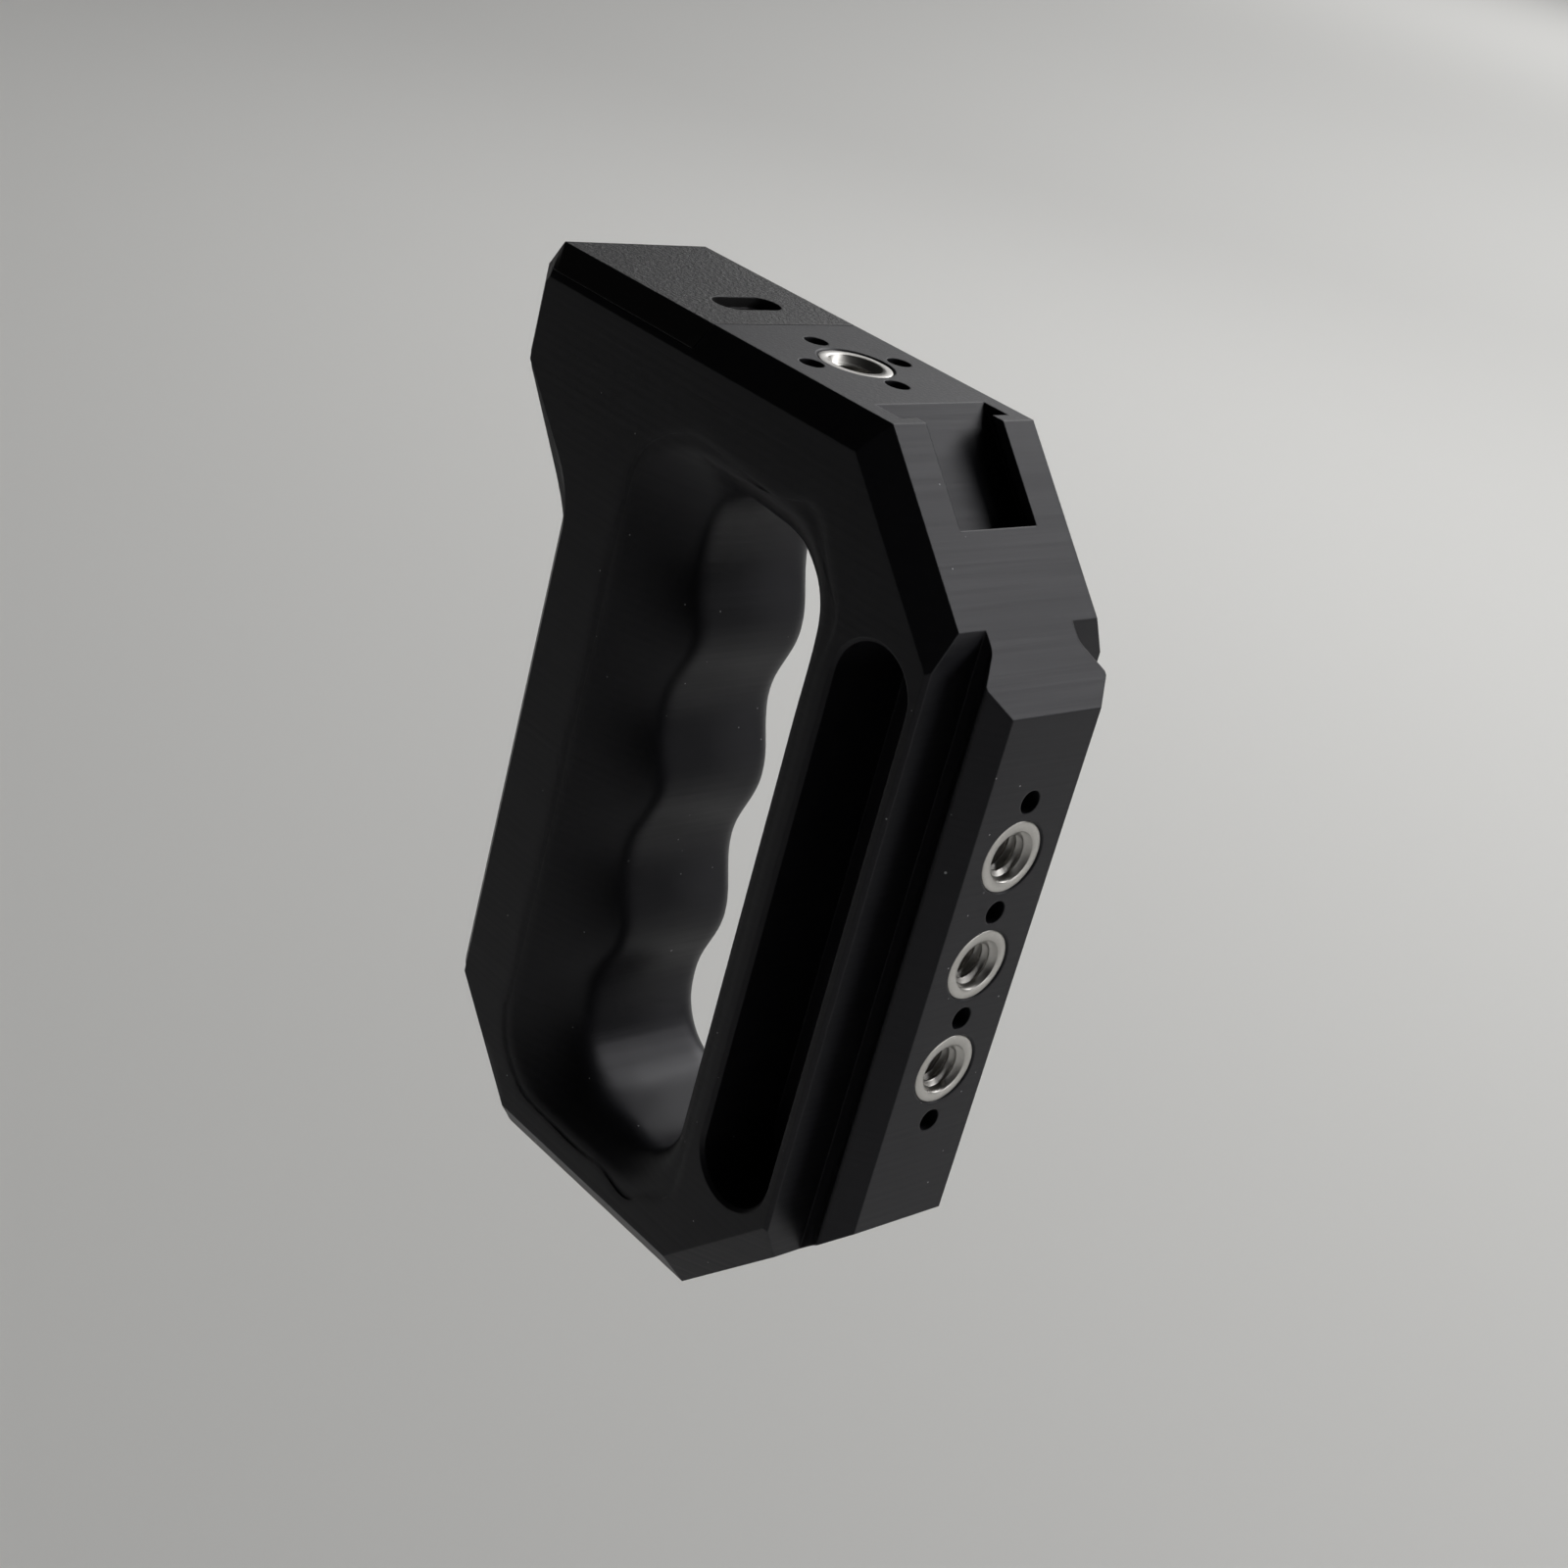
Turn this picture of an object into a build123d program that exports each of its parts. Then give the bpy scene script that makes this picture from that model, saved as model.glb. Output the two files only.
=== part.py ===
# Camera side handle with an accessory rail on its front, three rail inserts,
# one top insert, a cold shoe on its nose and a storage compartment whose lid
# slides off to the rear.
#
# Frame: millimetres, +X forward out of the rail, +Y to the far side, +Z up.
# The origin is on the rail's front land, on the axis of the middle insert.
import os
from math import cos, pi, sin, sqrt

from build123d import *

# ---- driving dimensions ------------------------------------------------
# overall outline
handle_width = 31.0          # across the two side faces
top_height = 60.7            # top face above the middle insert
base_drop = 60.4             # bottom face below the middle insert
head_depth = 92.8            # rear of the head behind the rail's land
grip_depth = 79.1            # rear of the grip behind the rail's land
head_heel_drop = 13.4        # straight height of the head's rear face
heel_corner = 16.5           # size of the bevel under the grip
rear_top_bevel = 2.3         # bevel along the rear edge of the top face
rear_top_bevel_height = 3.8
heel_radius = 4.5            # under the rear of the head
neck_radius = 8.0            # where the head runs into the grip
foot_radius = 2.5            # the two corners of the bevel under the grip

# side bevels, the same all round the outline
bevel_width = 3.2            # taken off across the handle
bevel_height = 4.0           # taken off the outline

# accessory rail
rail_land_width = 15.7
rail_max_width = 21.2
rail_neck_width = 15.5
rail_edge_flat = 0.4         # flat on the rail's widest edge
rail_neck_radius = 1.6       # where the neck runs out into the rail's back slopes
rail_top = 34.6              # ends of the land above and below the origin
rail_bottom = 38.5
groove_depth = 7.8           # from the land to the floor beside the rail
groove_edge_break = 0.5      # small bevel along the floor's outer edges

# threaded inserts, quarter inch camera thread
insert_pitch = 15.24
insert_diameter = 9.8
insert_length = 7.6
thread_core_diameter = 5.2
countersink_diameter = 7.0
countersink_depth = 0.9
insert_groove_depth = 0.35
insert_groove_width = 1.2
insert_recess = 0.15         # how far an insert sits below its face
seat_edge_break = 0.25       # bevel round the mouth of an insert's seat
seat_ledge = 1.2             # flat ring at the seat's end that an insert stands on
seat_point_depth = 1.4       # shallow cone sunk inside that ring
locating_hole_diameter = 3.2
locating_hole_depth = 3.6
top_insert_offset = 45.8     # top insert's axis behind the rail's land

# cold shoe
shoe_slot_width = 13.4
shoe_channel_width = 19.0
shoe_lip = 1.3
shoe_channel_height = 3.0
shoe_length = 13.6           # open slot, measured down the nose face
shoe_stop_depth = 2.4        # how far the channel runs on under the lower lip

# side pockets
pocket_width = 12.5
pocket_length = 79.4
pocket_offset = 16.0         # pocket's middle behind the rail's land
pocket_drop = 2.5            # pocket's middle below the origin
pocket_web = 5.0             # wall left between the two pockets
pocket_edge_break = 0.5

# finger opening: its outline deep inside and where its flare meets the sides
opening_front = 27.0
opening_rear = 54.8          # at the deepest part of a finger groove
opening_top = 42.6
opening_bottom = 46.5
opening_corner = 10.0
flare_front = 25.8
flare_rear = 64.4
flare_top = 46.6
flare_bottom = 52.0
flare_corner = 11.0
flare_depth_front = 1.4      # how deep the flare runs into the handle
flare_depth_top = 3.0
flare_depth_bottom = 5.0
flare_depth_rear = 7.0
flare_overrun = 0.07         # share of that depth that the cutter stands out
flare_levels = (0.03, 0.12, 0.25, 0.4, 0.58, 0.78, 1.0)  # shares of that depth
straight_levels = (0.2, 0.45, 0.7)  # shares of the way from the flare to the middle
finger_ridge_height = 2.9
finger_pitch = 22.2
finger_ridge_middle = 1.9    # middle ridge below the origin
finger_waves = 3             # whole waves down the grip, about the middle ridge

# compartment and its sliding lid
lid_front = 59.2             # lid's front edge behind the rail's land
lid_thickness = 3.3
lid_front_gap = 0.2
lid_slide_clearance = 0.08
tongue_height = 2.4
tongue_width = 19.6          # widest, at the tongue's underside
tongue_undercut = 1.2        # each side, between its underside and its root
compartment_length = 24.0
compartment_width = 15.6
compartment_depth = 9.0
compartment_setback = 4.4    # behind the lid's front edge
compartment_corner = 2.0
lid_notch_length = 10.6      # finger notch, across the lid
lid_notch_width = 5.0
lid_notch_depth = 1.5
lid_notch_setback = 8.0      # notch's middle behind the lid's front edge
magnet_diameter = 4.0
magnet_thickness = 2.0
magnet_side_wall = 1.1       # between a magnet and the tongue's narrow side
magnet_floor_wall = 0.2      # between a magnet and the tongue's underside

# ---- sizes worked out from them ------------------------------------------
half_width = handle_width / 2
flat_half_width = half_width - bevel_width
lid_floor = top_height - lid_thickness
nose_corner_x = rail_top - top_height
rail_slope = (rail_max_width - rail_land_width) / 2
rail_back_slope = (rail_max_width - rail_neck_width) / 2
locating_hole_offset = insert_pitch / 2
insert_radius = insert_diameter / 2
magnet_height = lid_floor - tongue_height + magnet_floor_wall + magnet_diameter / 2
magnet_side = tongue_width / 2 - tongue_undercut - magnet_side_wall - magnet_diameter / 2
sides = {"near": -1, "far": 1}
past = 1.0                   # how far a cutter runs past the face it opens

# The XZ plane looks along +Y, so a sketch's x and y are the handle's X and Z
# and an extrusion runs to the near side, towards -Y.
side_plane = Plane.XZ
nose_plane = Plane(
    origin=(0, 0, rail_top),
    x_dir=(0, 1, 0),
    z_dir=(sqrt(0.5), 0, sqrt(0.5)),
)


# ---- outer form ------------------------------------------------------------
def outline_face():
    """Side outline of the whole handle, with the rail's front still square."""
    heel_height = top_height - rear_top_bevel_height - head_heel_drop
    neck_height = heel_height - (head_depth - grip_depth)
    corners = [
        (0, rail_top),
        (nose_corner_x, top_height),
        (-head_depth + rear_top_bevel, top_height),
        (-head_depth, top_height - rear_top_bevel_height),
        (-head_depth, heel_height),
        (-grip_depth, neck_height),
        (-grip_depth, -base_drop + heel_corner),
        (-grip_depth + heel_corner, -base_drop),
        (rail_bottom - base_drop, -base_drop),
        (0, -rail_bottom),
    ]
    face = make_face(Polyline(*corners, close=True))
    rounded = (
        (corners[4], heel_radius),
        (corners[5], neck_radius),
        (corners[6], foot_radius),
        (corners[7], foot_radius),
    )
    for corner, radius in rounded:
        vertex = face.vertices().sort_by_distance((corner[0], corner[1], 0))[0]
        face = fillet(vertex, radius)
    return face


def handle_blank():
    """The outline made solid, with the bevels along both side faces."""
    outline = side_plane * outline_face()
    blank = extrude(outline, flat_half_width, both=True)
    edge_angle = atan_degrees(bevel_height, bevel_width)
    for side in sides.values():
        face_plane = side_plane.offset(-side * flat_half_width)
        face = face_plane * outline_face()
        direction = (0, side, 0)
        blank += extrude(face, bevel_width, dir=direction, taper=edge_angle)
    return blank


def atan_degrees(opposite, adjacent):
    """Angle in degrees of a slope."""
    return Vector(adjacent, opposite, 0).get_angle(Vector(1, 0, 0))


def rail_section():
    """Rail's cross-section, seen from above, from its land to the floor."""
    land = rail_land_width / 2
    widest = rail_max_width / 2
    neck = rail_neck_width / 2
    edge_front = -rail_slope
    edge_back = edge_front - rail_edge_flat
    neck_front = edge_back - rail_back_slope
    right = [
        (0, land),
        (edge_front, widest),
        (edge_back, widest),
        (neck_front, neck),
        (-groove_depth - past, neck),
    ]
    left = [(x, -y) for x, y in reversed(right)]
    face = make_face(Polyline(*right, *left, close=True))
    inner_corners = face.vertices().group_by(Axis.X)[1]
    return fillet(inner_corners, rail_neck_radius)


def rail():
    """The rail, its ends cut by the nose face and the bevel at the bottom."""
    bar = Plane.XY.offset(-base_drop) * rail_section()
    bar = extrude(bar, top_height + base_drop)
    return bar & extrude(side_plane * outline_face(), half_width, both=True)


def front_waste():
    """What is taken off in front of the groove floor."""
    height = 2 * (top_height + base_drop)
    block = Box(groove_depth + past, handle_width + 2 * past, height,
                align=(Align.MIN, Align.CENTER, Align.CENTER))
    return Pos(-groove_depth, 0, 0) * block


# ---- finger opening ---------------------------------------------------------
def rounded_outline(front, rear, top, bottom, corner, ridge):
    """Points round an upright rounded opening, in a fixed number and order.

    They start at the foot of the front wall and run up it, back along the
    top, down the grip with its finger ridges, and forward along the bottom.
    """
    wall_steps = 8
    corner_steps = 6
    flat_steps = 4
    grip_steps = 26
    points = []

    def wall(start, end, steps):
        for step in range(steps):
            share = step / steps
            x = start[0] + (end[0] - start[0]) * share
            z = start[1] + (end[1] - start[1]) * share
            points.append((x, z))

    def turn(centre, start_angle):
        for step in range(corner_steps):
            angle = start_angle + pi / 2 * step / corner_steps
            x = centre[0] + corner * cos(angle)
            z = centre[1] + corner * sin(angle)
            points.append((x, z))

    high = top - corner
    low = -bottom + corner
    fore = -front - corner
    aft = -rear + corner
    wall((-front, low), (-front, high), wall_steps)
    turn((fore, high), 0)
    wall((fore, top), (aft, top), flat_steps)
    turn((aft, high), pi / 2)
    for step in range(grip_steps):
        z = high + (low - high) * step / grip_steps
        points.append((-rear + finger_wave(z, high, low, ridge), z))
    turn((aft, low), pi)
    wall((aft, -bottom), (fore, -bottom), flat_steps)
    turn((fore, low), 3 * pi / 2)
    return points


def finger_wave(z, high, low, ridge):
    """How far the finger ridges stand out of the grip's inner wall."""
    if not low < z < high:
        return 0
    reach = finger_waves * finger_pitch / 2
    if abs(z + finger_ridge_middle) > reach:
        return 0
    phase = 2 * pi * (z + finger_ridge_middle) / finger_pitch
    return ridge * (1 + cos(phase)) / 2


def flare_depth(x, z):
    """Depth of the flare at a place on the opening's inner outline."""
    along = (-x - opening_front) / (opening_rear - opening_front)
    along = min(max(along, 0), 1)
    blend = along * along * (3 - 2 * along)
    edge_depth = flare_depth_top if z > 0 else flare_depth_bottom
    front_part = flare_depth_front + (edge_depth - flare_depth_front) * min(2 * along, 1)
    return front_part + (flare_depth_rear - front_part) * blend


def opening_section(depth):
    """Closed outline of the opening at a depth below a side face."""
    inner = rounded_outline(opening_front, opening_rear, opening_top,
                            opening_bottom, opening_corner, finger_ridge_height)
    outer = rounded_outline(flare_front, flare_rear, flare_top,
                            flare_bottom, flare_corner, 0)
    points = []
    for (xi, zi), (xo, zo) in zip(inner, outer):
        share = max(0, 1 - depth / flare_depth(xi, zi)) ** 2
        points.append((xi + (xo - xi) * share, zi + (zo - zi) * share))
    return make_face(Spline(*points, periodic=True))


def finger_opening():
    """Cutter for the opening, which flares towards both side faces.

    Its sections lie closer together near the side faces, where the flare
    turns fastest, and a few more keep the middle straight.
    """
    depths = [share * flare_depth_rear for share in (-flare_overrun, *flare_levels)]
    straight = half_width - flare_depth_rear
    depths += [flare_depth_rear + share * straight for share in straight_levels]
    levels = [(half_width - depth, depth) for depth in depths]
    levels += [(0, half_width)] + [(-y, depth) for y, depth in reversed(levels)]
    return loft([side_plane.offset(y) * opening_section(depth) for y, depth in levels])


# ---- pockets, shoe, seats --------------------------------------------------
def side_pockets():
    """Two long blind pockets, one from each side face."""
    outline = SlotOverall(pocket_length, pocket_width, rotation=90)
    floor_y = pocket_web / 2
    depth = half_width - floor_y
    cutter = None
    for side in sides.values():
        plane = side_plane.offset(-side * floor_y)
        face = plane * Pos(-pocket_offset, -pocket_drop) * outline
        pocket = extrude(face, depth, dir=(0, side, 0))
        rim = side_plane.offset(-side * (half_width - pocket_edge_break))
        rim_face = rim * Pos(-pocket_offset, -pocket_drop) * outline
        rim_cut = extrude(rim_face, pocket_edge_break, dir=(0, side, 0), taper=-45)
        pocket += rim_cut
        cutter = pocket if cutter is None else cutter + pocket
    return cutter


def cold_shoe():
    """Slot and wider channel of the shoe, open at the top face."""
    nose_length = (top_height - rail_top) * sqrt(2)
    slot_end = nose_length - shoe_length
    run = nose_length - slot_end + shoe_channel_width
    depth = shoe_lip + shoe_channel_height
    slot_face = Pos(0, slot_end) * Rectangle(
        shoe_slot_width, run, align=(Align.CENTER, Align.MIN))
    slot_face = nose_plane.offset(past) * slot_face
    slot = extrude(slot_face, -(depth + past))
    channel_face = Pos(0, slot_end - shoe_stop_depth) * Rectangle(
        shoe_channel_width, run + shoe_stop_depth, align=(Align.CENTER, Align.MIN))
    channel_face = nose_plane.offset(-shoe_lip) * channel_face
    channel = extrude(channel_face, -shoe_channel_height)
    return slot + channel


def insert_seat():
    """Cutter for one insert's seat, mouth at the local origin, opening +Z."""
    depth = insert_recess + insert_length
    seat = Pos(0, 0, -depth) * Cylinder(
        insert_radius, depth + past, align=(Align.CENTER, Align.CENTER, Align.MIN))
    mouth = Cone(insert_radius, insert_radius + seat_edge_break, seat_edge_break,
                 align=(Align.CENTER, Align.CENTER, Align.MAX))
    point = Pos(0, 0, -depth) * Cone(
        0, insert_radius - seat_ledge, seat_point_depth,
        align=(Align.CENTER, Align.CENTER, Align.MAX))
    return seat + mouth + point


def locating_hole():
    """Cutter for one blind locating hole, mouth at the local origin."""
    return Pos(0, 0, -locating_hole_depth) * Cylinder(
        locating_hole_diameter / 2, locating_hole_depth + past,
        align=(Align.CENTER, Align.CENTER, Align.MIN))


def rail_place(height):
    """A place on the rail's land, its local Z pointing forward."""
    return Location(Plane(origin=(0, 0, height), x_dir=(0, 1, 0), z_dir=(1, 0, 0)))


def top_place(x=0, y=0):
    """A place on the top face, measured from the top insert's axis."""
    return Location((x - top_insert_offset, y, top_height))


def seat_cutters():
    """All the insert seats and locating holes."""
    cutters = [top_place() * insert_seat()]
    for step in (-1, 0, 1):
        cutters.append(rail_place(step * insert_pitch) * insert_seat())
    for step in (-3, -1, 1, 3):
        cutters.append(rail_place(step * locating_hole_offset) * locating_hole())
    for x, y in ((1, 0), (-1, 0), (0, 1), (0, -1)):
        place = top_place(x * locating_hole_offset, y * locating_hole_offset)
        cutters.append(place * locating_hole())
    return cutters


# ---- compartment and lid -----------------------------------------------------
def tongue(clearance):
    """Dovetail bar along X under the lid, grown all round by a clearance."""
    low = tongue_width / 2 + clearance
    high = low - tongue_undercut
    base = lid_floor - tongue_height - clearance
    section = make_face(Polyline(
        (-low, base), (low, base), (high, lid_floor), (-high, lid_floor),
        close=True))
    plane = Plane(origin=(-lid_front, 0, 0), x_dir=(0, 1, 0), z_dir=(1, 0, 0))
    return extrude(plane * section, -(head_depth - lid_front))


def compartment():
    """The storage space below the lid's tongue."""
    top = lid_floor - tongue_height - lid_slide_clearance
    block = Box(compartment_length, compartment_width, compartment_depth + past,
                align=(Align.MAX, Align.CENTER, Align.MAX))
    block = fillet(block.edges().filter_by(Axis.Z), compartment_corner)
    return Pos(-lid_front - compartment_setback, 0, top + past) * block


def above_lid_floor(front, floor):
    """Everything of the head that lies behind a front face and above a floor."""
    return Pos(-front, 0, floor) * Box(
        head_depth, 2 * handle_width, 2 * lid_thickness,
        align=(Align.MAX, Align.CENTER, Align.MIN))


def magnet_place(side):
    """Where the faces of one pair of magnets meet, local Z pointing forward."""
    return Location(Plane(origin=(-lid_front, side * magnet_side, magnet_height),
                          x_dir=(0, 1, 0), z_dir=(1, 0, 0)))


def magnet(forward):
    """One disc magnet, lying in front of or behind the seam."""
    disc = Cylinder(magnet_diameter / 2, magnet_thickness,
                    align=(Align.CENTER, Align.CENTER, Align.MIN))
    back = -lid_front_gap - magnet_thickness
    return disc if forward else Pos(0, 0, back) * disc


def compartment_lid(blank):
    """Lid plate cut from the head, with its tongue, notch and magnet seats."""
    floor = lid_floor + lid_slide_clearance
    lid = blank & above_lid_floor(lid_front + lid_front_gap, floor)
    bar = tongue(0) & above_lid_floor(lid_front + lid_front_gap, lid_floor - tongue_height)
    root = tongue_width / 2 - tongue_undercut
    bridge = Pos(-lid_front - lid_front_gap, 0, lid_floor) * Box(
        head_depth - lid_front - lid_front_gap, 2 * root, lid_slide_clearance,
        align=(Align.MAX, Align.CENTER, Align.MIN))
    lid += bar + bridge
    notch_place = Pos(-lid_front - lid_notch_setback, 0, top_height)
    notch = SlotOverall(lid_notch_length, lid_notch_width, rotation=90)
    lid -= notch_place * extrude(notch, -lid_notch_depth)
    for side in sides.values():
        lid -= magnet_place(side) * magnet(False)
    return lid


def handle_body(blank):
    """The printed body."""
    body = blank - front_waste()
    floor_edges = body.edges().filter_by(Axis.Z).group_by(Axis.X)[-1]
    body = chamfer(floor_edges, groove_edge_break)
    body += rail()
    body -= side_pockets()
    body -= cold_shoe()
    body -= above_lid_floor(lid_front, lid_floor)
    body -= tongue(lid_slide_clearance)
    body -= compartment()
    for cutter in seat_cutters():
        body -= cutter
    for side in sides.values():
        body -= magnet_place(side) * magnet(True)
    return body - finger_opening()


def threaded_insert():
    """One insert, its upper face at the local origin and its axis along Z."""
    core = thread_core_diameter / 2
    mouth = countersink_diameter / 2
    waist = insert_radius - insert_groove_depth
    groove_top = -(insert_length - insert_groove_width) / 2
    groove_low = groove_top - insert_groove_width
    profile = [
        (mouth, 0),
        (insert_radius, 0),
        (insert_radius, groove_top),
        (waist, groove_top),
        (waist, groove_low),
        (insert_radius, groove_low),
        (insert_radius, -insert_length),
        (core, -insert_length),
        (core, -countersink_depth),
    ]
    ring = revolve(Plane.XZ * make_face(Polyline(*profile, close=True)), Axis.Z)
    return Pos(0, 0, -insert_recess) * ring


def write(node, shape):
    """Write one node's STEP file."""
    solids = shape.solids()
    if len(solids) != 1:
        raise ValueError(f"{node} has {len(solids)} solids")
    export_step(solids[0], f"parts/{node}.step")
    print(node, round(solids[0].volume))


def main():
    os.makedirs("parts", exist_ok=True)
    blank = handle_blank()
    write("handle_body", handle_body(blank))
    write("compartment_lid", compartment_lid(blank))
    write("top_insert", top_place() * threaded_insert())
    for name, step in (("upper", 1), ("middle", 0), ("lower", -1)):
        place = rail_place(step * insert_pitch)
        write(f"rail_insert_{name}", place * threaded_insert())
    for name, side in sides.items():
        write(f"body_magnet_{name}", magnet_place(side) * magnet(True))
        write(f"lid_magnet_{name}", magnet_place(side) * magnet(False))


main()
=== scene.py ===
import math

import bpy
import numpy as np
from mathutils import Matrix, Vector


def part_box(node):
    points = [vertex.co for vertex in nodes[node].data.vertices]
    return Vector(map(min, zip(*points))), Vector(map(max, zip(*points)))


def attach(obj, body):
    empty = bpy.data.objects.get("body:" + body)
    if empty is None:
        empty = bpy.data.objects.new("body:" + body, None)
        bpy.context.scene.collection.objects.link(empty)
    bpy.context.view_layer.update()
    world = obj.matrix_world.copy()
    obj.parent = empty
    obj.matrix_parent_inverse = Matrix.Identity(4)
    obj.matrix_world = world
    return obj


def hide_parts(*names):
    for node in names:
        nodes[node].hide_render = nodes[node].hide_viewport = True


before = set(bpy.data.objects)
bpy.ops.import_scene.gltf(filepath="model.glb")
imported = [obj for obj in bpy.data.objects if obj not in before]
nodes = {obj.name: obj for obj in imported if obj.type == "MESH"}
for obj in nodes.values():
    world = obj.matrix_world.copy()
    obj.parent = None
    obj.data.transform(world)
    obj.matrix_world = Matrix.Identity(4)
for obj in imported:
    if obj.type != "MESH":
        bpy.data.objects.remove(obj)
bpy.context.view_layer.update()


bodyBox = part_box("handle_body")
print("frame loaded", len(nodes), "nodes")


def newMaterial(name):
    material = bpy.data.materials.new(name)
    material.use_nodes = True
    tree = material.node_tree
    shader = tree.nodes["Principled BSDF"]
    return material, tree, shader


def addNode(tree, kind, **settings):
    node = tree.nodes.new(kind)
    for key, value in settings.items():
        setattr(node, key, value)
    return node


def mapped(tree, scale):
    # object coordinates stretched by a scale for each axis
    place = addNode(tree, "ShaderNodeTexCoord")
    mapping = addNode(tree, "ShaderNodeMapping")
    mapping.inputs["Scale"].default_value = scale
    tree.links.new(place.outputs["Object"], mapping.inputs["Vector"])
    return mapping.outputs["Vector"]


def noise(tree, scale, detail=2.0, roughness=0.5, stretch=(1, 1, 1)):
    node = addNode(tree, "ShaderNodeTexNoise")
    node.inputs["Scale"].default_value = scale
    node.inputs["Detail"].default_value = detail
    node.inputs["Roughness"].default_value = roughness
    tree.links.new(mapped(tree, stretch), node.inputs["Vector"])
    return node.outputs["Fac"]


def math2(tree, operation, first, second):
    node = addNode(tree, "ShaderNodeMath", operation=operation)
    for socket, value in zip(node.inputs, (first, second)):
        if hasattr(value, "links"):
            tree.links.new(value, socket)
        else:
            socket.default_value = value
    return node.outputs[0]


def ramp(tree, value, low, high, bottom=0.0, top=1.0):
    node = addNode(tree, "ShaderNodeMapRange", clamp=True)
    tree.links.new(value, node.inputs["Value"])
    node.inputs["From Min"].default_value = low
    node.inputs["From Max"].default_value = high
    node.inputs["To Min"].default_value = bottom
    node.inputs["To Max"].default_value = top
    return node.outputs["Result"]


def mixColour(tree, share, first, second):
    node = addNode(tree, "ShaderNodeMix", data_type="RGBA")
    tree.links.new(share, node.inputs["Factor"])
    for socket, value in ((node.inputs[6], first), (node.inputs[7], second)):
        if hasattr(value, "links"):
            tree.links.new(value, socket)
        else:
            socket.default_value = (*value, 1)
    return node.outputs[2]


def addBump(tree, shader, height, distance):
    # the bump goes on top of whatever bends the normals already
    bump = addNode(tree, "ShaderNodeBump")
    bump.inputs["Distance"].default_value = distance
    bump.inputs["Strength"].default_value = 1.0
    tree.links.new(height, bump.inputs["Height"])
    before = shader.inputs["Normal"].links
    if before:
        tree.links.new(before[0].from_socket, bump.inputs["Normal"])
    tree.links.new(bump.outputs["Normal"], shader.inputs["Normal"])


# black printed plastic; lengths are metres, layerHeight is one printed layer, and
# flareFrom and flareTo are the X and Z ends of the finger opening's flare
printedPlastic = {
    "bodyColour": (0.0138, 0.0137, 0.0165),
    "lidColour": (0.0185, 0.0182, 0.018),
    "toneSpread": 0.15,
    # painted highlight: how many times the base colour the grain's glints are painted
    "paintedGlint": 8,
    # partly wear and partly painted highlight: the paler colour the edges are mixed towards, and
    # its least and greatest share
    "scuffAndHighlightColour": (0.075, 0.075, 0.08),
    "scuffAndHighlightShare": (0.1, 0.4),
    "edgeRadius": 0.0003,
    "flareRadius": 0.0022,
    "flareFrom": (-0.0665, -0.0545),
    "flareTo": (-0.0243, 0.049),
    "dust": (0.42, 0.42, 0.43),
    "dustSizes": ((620.0, 0.14), (1500.0, 0.2)),
    "dustRarity": 0.993,
    "roughness": 0.44,
    "roughnessSpread": 0.03,
    "specular": 0.32,
    "specularTint": (0.96, 0.95, 1.0),
    "layerHeight": 0.0002,
    "layerDepth": 0.000011,
    "plateGrain": 1700.0,
    "plateDepth": 0.00016,
}


def layerLines(tree):
    # height of the layer lines: a wave up Z plus a noise drawn out along the layers
    wave = addNode(tree, "ShaderNodeTexWave", wave_type="BANDS", bands_direction="Z")
    wave.inputs["Scale"].default_value = 1 / printedPlastic["layerHeight"] / 20
    wave.inputs["Distortion"].default_value = 0.3
    place = addNode(tree, "ShaderNodeTexCoord")
    tree.links.new(place.outputs["Object"], wave.inputs["Vector"])
    streaks = noise(tree, 1.0, 2.0, 0.6, (35, 35, 3600))
    return math2(tree, "ADD", math2(tree, "MULTIPLY", wave.outputs["Fac"], 0.5), streaks)


def topFacing(tree, level):
    # 1 on faces that look straight up and lie at the top face's height
    geometry = addNode(tree, "ShaderNodeNewGeometry")
    split = addNode(tree, "ShaderNodeSeparateXYZ")
    tree.links.new(geometry.outputs["True Normal"], split.inputs[0])
    upward = ramp(tree, split.outputs["Z"], 0.97, 0.99)
    place = addNode(tree, "ShaderNodeTexCoord")
    height = addNode(tree, "ShaderNodeSeparateXYZ")
    tree.links.new(place.outputs["Object"], height.inputs[0])
    atTop = ramp(tree, height.outputs["Z"], level - 0.0006, level - 0.0003)
    return math2(tree, "MULTIPLY", upward, atTop)


def dustSpecks(tree, scale, size, rarity):
    # small pale specks, one in a few cells of a fine cell pattern
    cells = addNode(tree, "ShaderNodeTexVoronoi")
    cells.inputs["Scale"].default_value = scale
    place = addNode(tree, "ShaderNodeTexCoord")
    tree.links.new(place.outputs["Object"], cells.inputs["Vector"])
    near = ramp(tree, cells.outputs["Distance"], size, size * 0.5)
    split = addNode(tree, "ShaderNodeSeparateColor")
    tree.links.new(cells.outputs["Color"], split.inputs[0])
    chosen = ramp(tree, split.outputs["Red"], rarity, rarity + 0.004)
    return math2(tree, "MULTIPLY", near, chosen)


def edgeRadius(tree):
    # small everywhere, and larger round the finger opening, where it hides the
    # crease at the flare's edge; a product of four ramps, two along X and two
    # along Z, is 1 inside the flare's box
    d = printedPlastic
    place = addNode(tree, "ShaderNodeTexCoord")
    split = addNode(tree, "ShaderNodeSeparateXYZ")
    tree.links.new(place.outputs["Object"], split.inputs[0])
    inside = 1.0
    for axis, low, high in zip("XZ", d["flareFrom"], d["flareTo"]):
        rising = ramp(tree, split.outputs[axis], low - 0.0015, low)
        falling = ramp(tree, split.outputs[axis], high + 0.0015, high)
        inside = math2(tree, "MULTIPLY", inside, math2(tree, "MULTIPLY", rising, falling))
    return ramp(tree, inside, 0, 1, d["edgeRadius"], d["flareRadius"])


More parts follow.
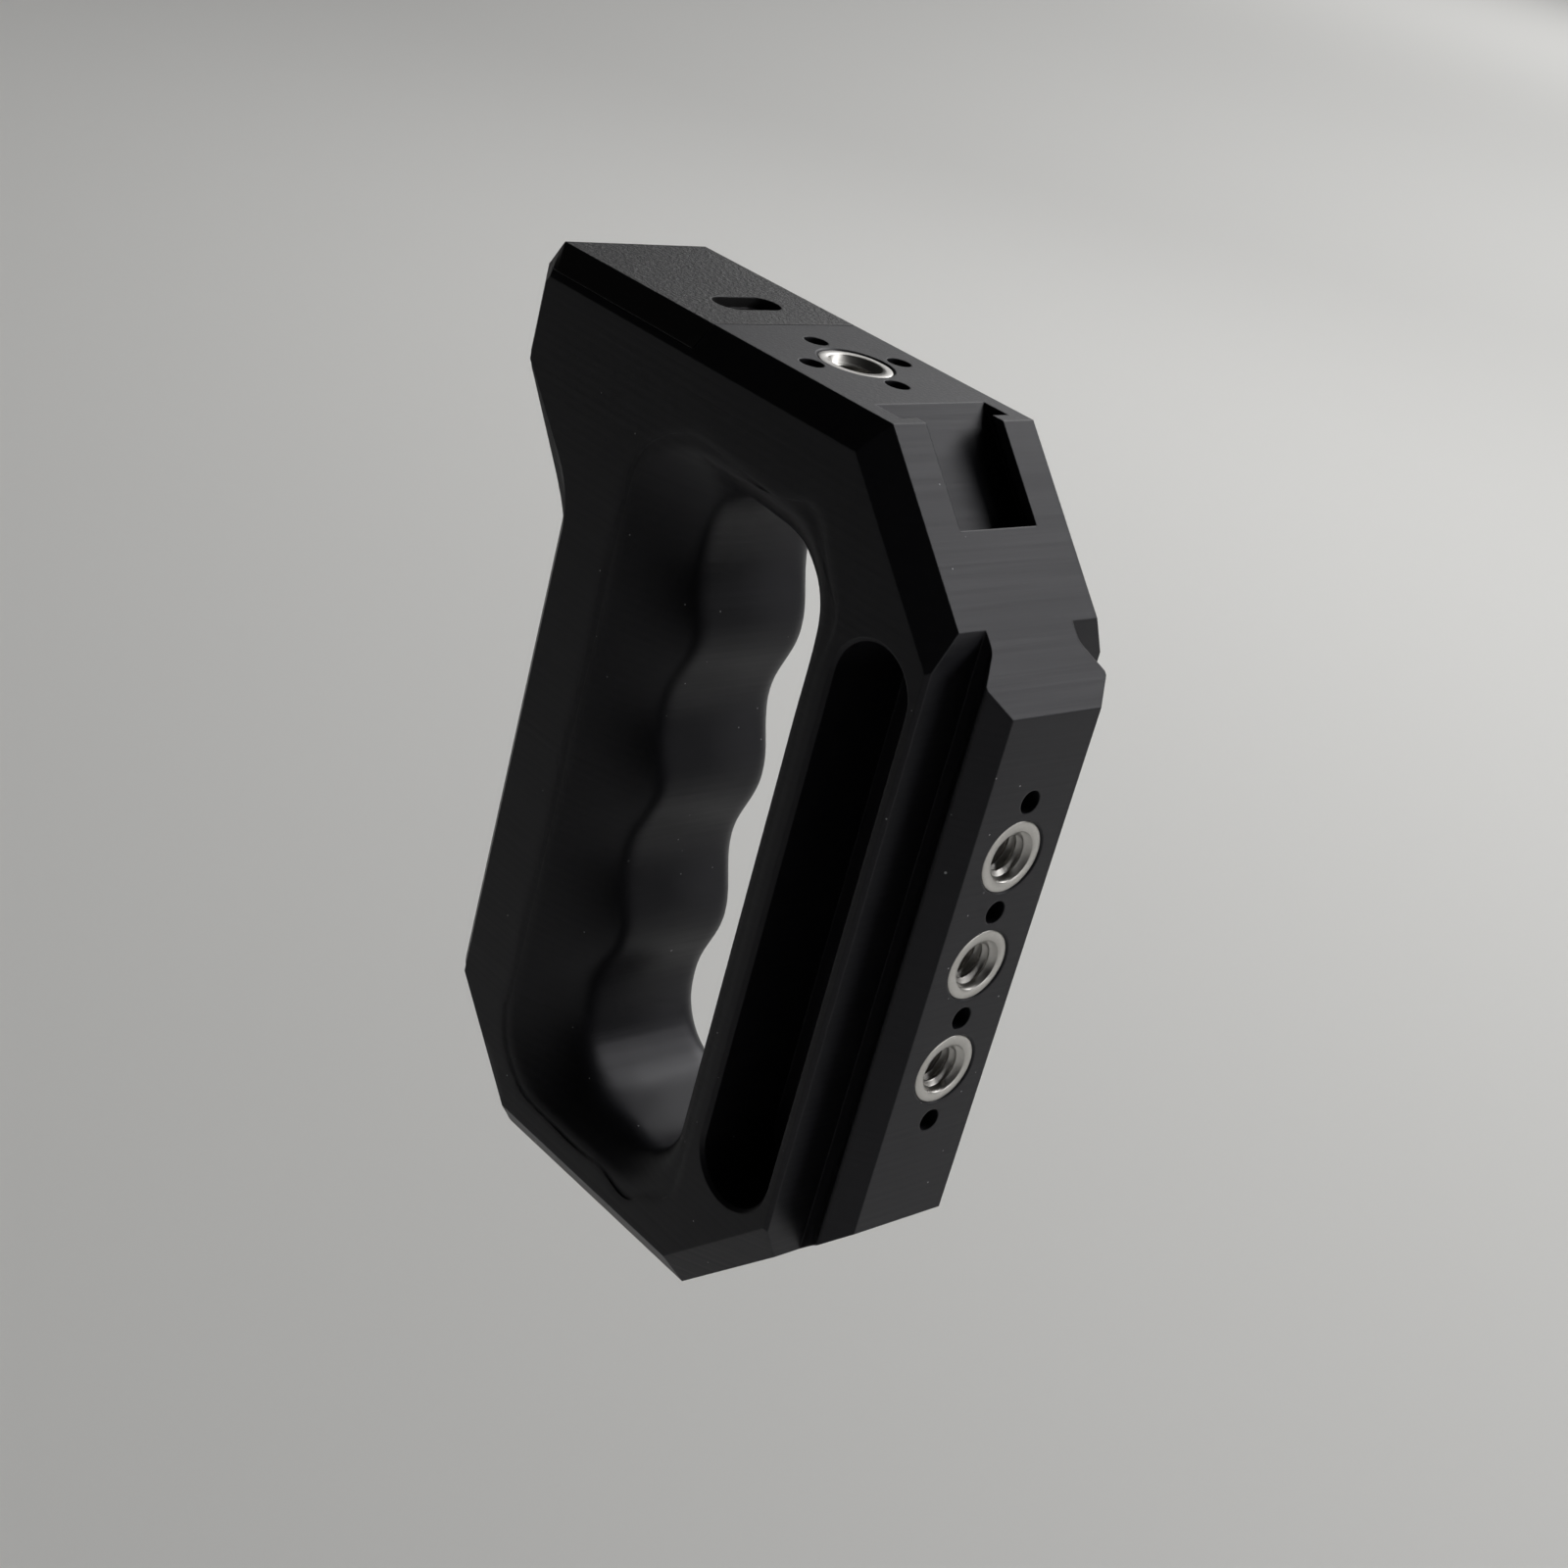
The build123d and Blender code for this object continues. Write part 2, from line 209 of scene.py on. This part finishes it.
def roundedEdges(tree, shader):
    # normals bent round every edge, and how far they are bent as an edge mask
    bevel = addNode(tree, "ShaderNodeBevel", samples=8)
    tree.links.new(edgeRadius(tree), bevel.inputs["Radius"])
    tree.links.new(bevel.outputs["Normal"], shader.inputs["Normal"])
    geometry = addNode(tree, "ShaderNodeNewGeometry")
    dot = addNode(tree, "ShaderNodeVectorMath", operation="DOT_PRODUCT")
    tree.links.new(bevel.outputs["Normal"], dot.inputs[0])
    tree.links.new(geometry.outputs["Normal"], dot.inputs[1])
    return ramp(tree, dot.outputs["Value"], 0.975, 0.87)


def plasticFinish(name, colour, plateShare):
    material, tree, shader = newMaterial(name)
    d = printedPlastic
    edge = roundedEdges(tree, shader)
    top = topFacing(tree, float(bodyBox[1][2]))
    plate = math2(tree, "MULTIPLY", top, plateShare)
    grain = noise(tree, d["plateGrain"], 3.0, 0.7)
    tone = noise(tree, 90.0, 3.0, 0.6)
    darker = tuple(c * (1 - d["toneSpread"]) for c in colour)
    paler = tuple(c * (1 + d["toneSpread"]) for c in colour)
    base = mixColour(tree, tone, darker, paler)
    # painted highlight: where the grain is bright on the up-facing plate faces, the colour is
    # mixed towards the base colour times a large factor, painted glints on the grain
    paintedGlint = math2(tree, "MULTIPLY", ramp(tree, grain, 0.5, 0.78), plate)
    base = mixColour(tree, paintedGlint, base, tuple(c * d["paintedGlint"] for c in colour))
    # edges, found by how far the bevel bends the normal, go paler in noisy patches: partly
    # scuffing, partly painted highlight where edges catch light
    wearAndHighlight = ramp(tree, noise(tree, 500.0), 0.35, 0.7, *d["scuffAndHighlightShare"])
    base = mixColour(tree, math2(tree, "MULTIPLY", edge, wearAndHighlight), base, d["scuffAndHighlightColour"])
    for scale, size in d["dustSizes"]:
        base = mixColour(tree, dustSpecks(tree, scale, size, d["dustRarity"]), base, d["dust"])
    tree.links.new(base, shader.inputs["Base Color"])
    shader.inputs["Specular IOR Level"].default_value = d["specular"]
    shader.inputs["Specular Tint"].default_value = (*d["specularTint"], 1)
    streaks = noise(tree, 1.0, 2.0, 0.6, (25, 25, 2400))
    smoothest = d["roughness"] - d["roughnessSpread"]
    rough = ramp(tree, streaks, 0.3, 0.7, smoothest, d["roughness"] + d["roughnessSpread"])
    tree.links.new(rough, shader.inputs["Roughness"])
    lineShare = math2(tree, "SUBTRACT", 1.0, top)
    addBump(tree, shader, math2(tree, "MULTIPLY", layerLines(tree), lineShare), d["layerDepth"])
    addBump(tree, shader, math2(tree, "MULTIPLY", grain, plate), d["plateDepth"])
    return material


# bright steel of the inserts and nickel of the magnets
brightSteel = {"colour": (0.6, 0.585, 0.56), "roughness": 0.36, "turningMarks": 0.000002}


def steelFinish(name, roughness):
    material, tree, shader = newMaterial(name)
    shader.inputs["Metallic"].default_value = 1.0
    marks = noise(tree, 2600.0, 2.0, 0.6)
    tone = tuple(c * 0.86 for c in brightSteel["colour"])
    colour = mixColour(tree, marks, tone, brightSteel["colour"])
    tree.links.new(colour, shader.inputs["Base Color"])
    rough = ramp(tree, noise(tree, 260.0, 3.0), 0.3, 0.7, roughness * 0.75, roughness * 1.4)
    tree.links.new(rough, shader.inputs["Roughness"])
    addBump(tree, shader, marks, brightSteel["turningMarks"])
    return material


threadedInsert = {
    "outerRadius": 0.0049,
    "mouthRadius": 0.0035,
    "coreRadius": 0.0026,
    "threadDepth": 0.00062,
    "threadPitch": 0.00127,
    "edgeBreak": 0.00018,
    "length": 0.0076,
    "countersink": 0.0009,
    "turns": 128,
}


def surfaceMesh(name, points, closedRows=True, closedColumns=True):
    # points is rows x columns x 3; rows run along the profile, columns round it
    rows, columns = points.shape[:2]
    r = np.arange(rows if closedRows else rows - 1)
    c = np.arange(columns if closedColumns else columns - 1)
    rr, cc = np.meshgrid(r, c, indexing="ij")
    nextR = (rr + 1) % rows
    nextC = (cc + 1) % columns
    faces = np.stack([rr * columns + cc, rr * columns + nextC,
                      nextR * columns + nextC, nextR * columns + cc], -1).reshape(-1, 4)
    mesh = bpy.data.meshes.new(name)
    mesh.from_pydata(points.reshape(-1, 3).tolist(), [], faces.tolist())
    mesh.polygons.foreach_set("use_smooth", np.ones(len(faces), dtype=bool))
    mesh.update()
    piece = bpy.data.objects.new(name, mesh)
    bpy.context.scene.collection.objects.link(piece)
    return piece


def insertSurface():
    # radius and height along a closed profile, carried round the axis; in the
    # bore the radius follows a sharp wave that climbs one pitch each turn
    d = threadedInsert
    e = d["edgeBreak"]
    boreSteps = 90
    top = -d["countersink"]
    bottom = -d["length"] + e
    boreHeights = np.linspace(top, bottom, boreSteps)
    heights = np.concatenate([
        [-d["length"] + e, -e, -e * 0.3, 0, 0, -0.00006, top * 0.98], boreHeights,
        [-d["length"], -d["length"], -d["length"] + e * 0.3]])
    radii = np.concatenate([
        [d["outerRadius"], d["outerRadius"], d["outerRadius"] - e * 0.3, d["outerRadius"] - e,
         d["mouthRadius"] + 0.00006, d["mouthRadius"], d["coreRadius"] + d["threadDepth"] * 0.8],
        np.full(boreSteps, d["coreRadius"]),
        [d["coreRadius"] + e, d["outerRadius"] - e, d["outerRadius"] - e * 0.3]])
    inBore = np.concatenate([np.zeros(7), np.ones(boreSteps), np.zeros(3)])
    turn = np.linspace(0, 2 * np.pi, d["turns"], endpoint=False)
    phase = (heights[:, None] / d["threadPitch"] + turn[None, :] / (2 * np.pi)) % 1
    wave = np.clip(np.abs(2 * phase - 1) * 1.25 - 0.125, 0, 1)
    endFade = np.clip((heights - bottom) / (d["threadPitch"] * 0.6), 0, 1)[:, None]
    radius = radii[:, None] + inBore[:, None] * wave * endFade * d["threadDepth"]
    return np.stack([radius * np.cos(turn), radius * np.sin(turn),
                     np.repeat(heights[:, None], len(turn), 1)], -1)


def placeInsert(name, node, forward):
    low, high = (np.array(corner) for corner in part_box(node))
    centre = (low + high) / 2
    local = insertSurface()
    if forward:
        points = np.stack([local[..., 2] + high[0], local[..., 0] + centre[1],
                           local[..., 1] + centre[2]], -1)
    else:
        points = local + np.array([centre[0], centre[1], high[2]])
    piece = surfaceMesh(name, points)
    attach(piece, "handle")
    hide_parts(node)
    piece.data.materials.append(steel)
    return piece


blackPlastic = plasticFinish("printedBlack", printedPlastic["bodyColour"], 0.25)
lidPlastic = plasticFinish("printedLidGrey", printedPlastic["lidColour"], 1.0)
steel = steelFinish("brightSteel", brightSteel["roughness"])
nickel = steelFinish("magnetNickel", 0.3)
nodeFinish = {
    "handle_body": blackPlastic,
    "compartment_lid": lidPlastic,
    "body_magnet_near": nickel,
    "body_magnet_far": nickel,
    "lid_magnet_near": nickel,
    "lid_magnet_far": nickel,
}
for name, material in nodeFinish.items():
    nodes[name].data.materials.clear()
    nodes[name].data.materials.append(material)
print("finishes on", len(nodeFinish), "nodes")

insertPlaces = {
    "insertTop": ("top_insert", False),
    "insertUpper": ("rail_insert_upper", True),
    "insertMiddle": ("rail_insert_middle", True),
    "insertLower": ("rail_insert_lower", True),
}
for name, (node, forward) in insertPlaces.items():
    placeInsert(name, node, forward)
print("threaded inserts built", len(insertPlaces))


# floor, lights and camera; places and sizes in metres, powers in watts
studio = {
    "floorDrop": 0.17,
    "floorSize": 16.0,
    "floorColour": (0.80, 0.795, 0.775),
    "horizonAir": (0.50, 0.50, 0.49),
    "upperAir": (0.012, 0.012, 0.012),
    "nearShare": 0.2,
    "airPower": 1.0,
    "cameraDistance": 0.3379,
    "azimuth": -42.206,
    "elevation": 24.157,
    "roll": 15.23,
    "lens": 58.014,
    "aim": (-0.04275, 0.00424, 0.00245),
    "lights": {
        "keyHigh": ((0.55, 0.95, 0.85), 4.7, 0.7, (-0.03, 0, 0.01)),
        "rightSide": ((1.2, 0.45, 0.2), 2.4, 0.6, (-0.03, 0, 0.0)),
        "behindHigh": ((-0.9, 1.1, 0.7), 1.4, 0.7, (-0.05, 0, 0.05)),
        "floorFar": ((-0.4, 2.2, 1.6), 25.0, 1.6, (-0.6, 1.6, -0.22)),
        "floorFarther": ((-2.0, 4.6, 2.4), 66.0, 2.0, (-2.0, 4.6, -0.22)),
        "floorNear": ((-0.3, 0.9, 0.9), 1.8, 0.8, (-0.5, 0.7, -0.22)),
    },
}


def floorPiece():
    # a flat square sheet a little below the handle
    half = studio["floorSize"] / 2
    level = float(bodyBox[0][2]) - studio["floorDrop"]
    u, v = np.meshgrid(np.linspace(-half, half, 3), np.linspace(-half, half, 3), indexing="ij")
    floor = surfaceMesh("floor", np.stack([u, v, np.full_like(u, level)], -1), False, False)
    material, tree, shader = newMaterial("paleFloor")
    shader.inputs["Base Color"].default_value = (*studio["floorColour"], 1)
    shader.inputs["Roughness"].default_value = 0.9
    shader.inputs["Specular IOR Level"].default_value = 0.1
    floor.data.materials.append(material)


def softLight(name, place, power, size, aim):
    lamp = bpy.data.lights.new(name, "AREA")
    lamp.shape = "DISK"
    lamp.energy = power
    lamp.size = size
    holder = bpy.data.objects.new(name, lamp)
    bpy.context.scene.collection.objects.link(holder)
    holder.location = place
    direction = Vector(aim) - Vector(place)
    holder.rotation_euler = direction.to_track_quat("-Z", "Y").to_euler()


def studioAir():
    # a pale band along the horizon beyond the handle, so the floor has no dark
    # end: its share falls with a direction's height and towards the near side
    world = bpy.data.worlds.new("studioAir")
    bpy.context.scene.world = world
    world.use_nodes = True
    tree = world.node_tree
    air = tree.nodes["Background"]
    place = addNode(tree, "ShaderNodeTexCoord")
    split = addNode(tree, "ShaderNodeSeparateXYZ")
    tree.links.new(place.outputs["Generated"], split.inputs[0])
    low = ramp(tree, split.outputs["Z"], 0.12, 0.02)
    beyond = ramp(tree, split.outputs["Y"], -0.25, 0.35, studio["nearShare"], 1.0)
    share = math2(tree, "SUBTRACT", 1.0, math2(tree, "MULTIPLY", low, beyond))
    colour = mixColour(tree, share, studio["horizonAir"], studio["upperAir"])
    tree.links.new(colour, air.inputs["Color"])
    air.inputs["Strength"].default_value = studio["airPower"]


def cameraPiece():
    camera = bpy.data.cameras.new("camera")
    camera.lens = studio["lens"]
    camera.sensor_width = 36.0
    camera.clip_start = 0.01
    camera.clip_end = 60
    holder = bpy.data.objects.new("camera", camera)
    bpy.context.scene.collection.objects.link(holder)
    az, el, roll = (math.radians(studio[k]) for k in ("azimuth", "elevation", "roll"))
    forward = np.array([math.sin(az) * math.cos(el), math.cos(az) * math.cos(el), -math.sin(el)])
    level = np.cross(forward, [0, 0, 1])
    level /= np.linalg.norm(level)
    above = np.cross(level, forward)
    right = math.cos(roll) * level + math.sin(roll) * above
    up = np.cross(right, forward)
    place = np.array(studio["aim"]) - forward * studio["cameraDistance"]
    turned = [[right[i], up[i], -forward[i], place[i]] for i in range(3)]
    holder.matrix_world = Matrix(turned + [[0, 0, 0, 1]])
    bpy.context.scene.camera = holder


floorPiece()
studioAir()
for name, settings in studio["lights"].items():
    softLight(name, *settings)
bpy.context.scene.view_settings.view_transform = "Standard"
cameraPiece()
print("studio ready")
